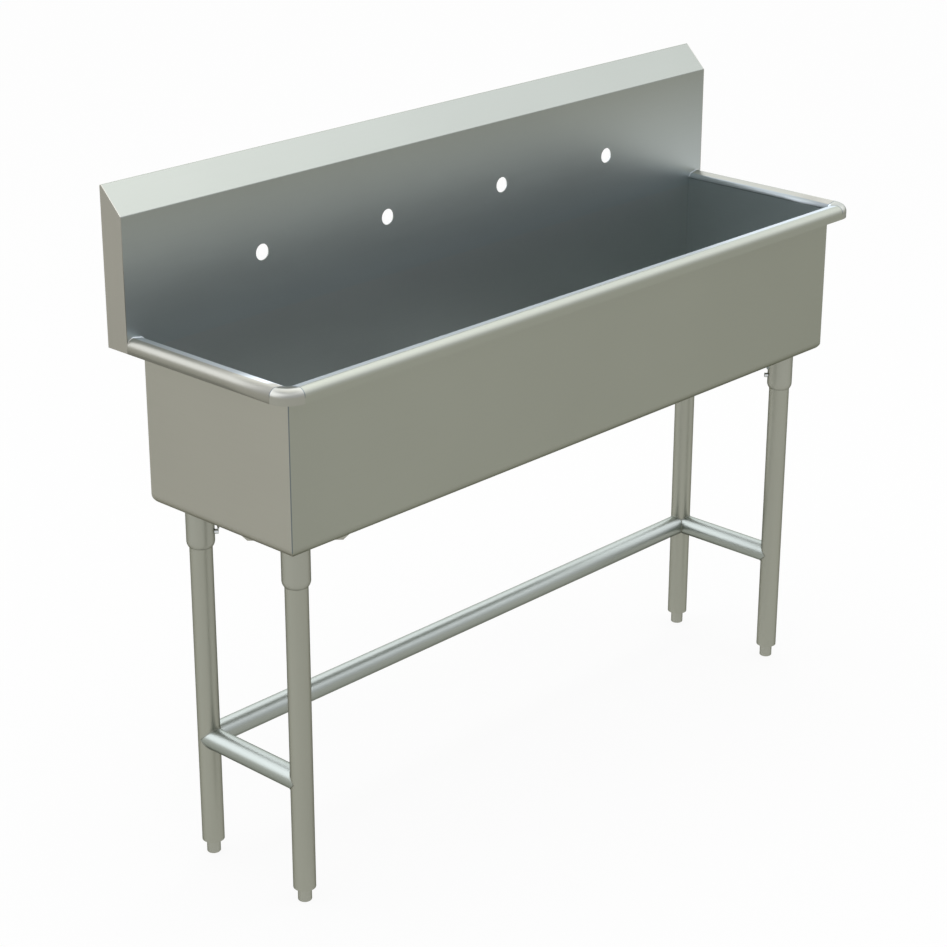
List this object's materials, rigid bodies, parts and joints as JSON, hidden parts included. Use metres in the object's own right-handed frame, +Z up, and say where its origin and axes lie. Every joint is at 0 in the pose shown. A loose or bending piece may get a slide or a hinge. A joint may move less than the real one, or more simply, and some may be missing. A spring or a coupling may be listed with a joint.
{
  "type": "compartment sink",
  "caption": "Free-standing stainless steel scullery sink: one long open trough with a rolled rim, a tall splash with tap holes, and tube legs with stretchers and adjustable feet.",
  "frame": {"origin": "on the floor, under the middle of the sink's length and depth", "axes": "+X along the length, to the right of someone facing the sink; -Y towards that person; +Z up"},
  "size_m": [1.56, 0.447, 1.27],
  "materials": {
    "trough_steel": "satin polished stainless sheet",
    "panel_steel": "satin polished stainless sheet",
    "rim_steel": "polished stainless sheet",
    "tube_steel": "polished stainless tube",
    "turned_steel": "satin turned stainless",
    "insert_steel": "plain turned steel",
    "fitting_chrome": "bright polished stainless",
    "gasket_rubber": "smooth black rubber",
    "knob_plastic": "black moulded plastic"
  },
  "bodies": {
    "frame": {"trough_wrap": "trough_steel", "end_panel_left": "panel_steel", "end_panel_right": "panel_steel", "rim_front": "rim_steel", "rim_left": "rim_steel", "rim_right": "rim_steel", "rim_corner_left": "rim_steel", "rim_corner_right": "rim_steel", "splash_sheet": "trough_steel", "splash_cap_left": "panel_steel", "splash_cap_right": "panel_steel", "gusset_front_left": "panel_steel", "gusset_front_right": "panel_steel", "gusset_rear_left": "panel_steel", "gusset_rear_right": "panel_steel", "socket_front_left": "turned_steel", "socket_front_right": "turned_steel", "socket_rear_left": "turned_steel", "socket_rear_right": "turned_steel", "set_screws": "fitting_chrome", "leg_front_left": "tube_steel", "leg_front_right": "tube_steel", "leg_rear_left": "tube_steel", "leg_rear_right": "tube_steel", "stretcher_left": "tube_steel", "stretcher_right": "tube_steel", "stretcher_rear": "tube_steel", "foot_insert_front_left": "insert_steel", "foot_insert_front_right": "insert_steel", "foot_insert_rear_left": "insert_steel", "foot_insert_rear_right": "insert_steel", "drain_body": "fitting_chrome", "drain_gasket": "gasket_rubber", "drain_locknut": "fitting_chrome"},
    "foot_body_front_left": {"foot_front_left": "turned_steel"},
    "foot_body_front_right": {"foot_front_right": "turned_steel"},
    "foot_body_rear_left": {"foot_rear_left": "turned_steel"},
    "foot_body_rear_right": {"foot_rear_right": "turned_steel"},
    "basket_body": {"basket": "fitting_chrome", "basket_knob": "knob_plastic"}
  },
  "joints": [
    {"name": "foot_height_front_left", "type": "slide", "parent": "frame", "child": "foot_body_front_left", "axis": [0, 0, 1], "range_m": [-0.0127, 0.0127]},
    {"name": "foot_height_front_right", "type": "slide", "parent": "frame", "child": "foot_body_front_right", "axis": [0, 0, 1], "range_m": [-0.0127, 0.0127]},
    {"name": "foot_height_rear_left", "type": "slide", "parent": "frame", "child": "foot_body_rear_left", "axis": [0, 0, 1], "range_m": [-0.0127, 0.0127]},
    {"name": "foot_height_rear_right", "type": "slide", "parent": "frame", "child": "foot_body_rear_right", "axis": [0, 0, 1], "range_m": [-0.0127, 0.0127]},
    {"name": "basket_lift", "type": "slide", "parent": "frame", "child": "basket_body", "axis": [0, 0, 1], "range_m": [0, 0.06]}
  ]
}
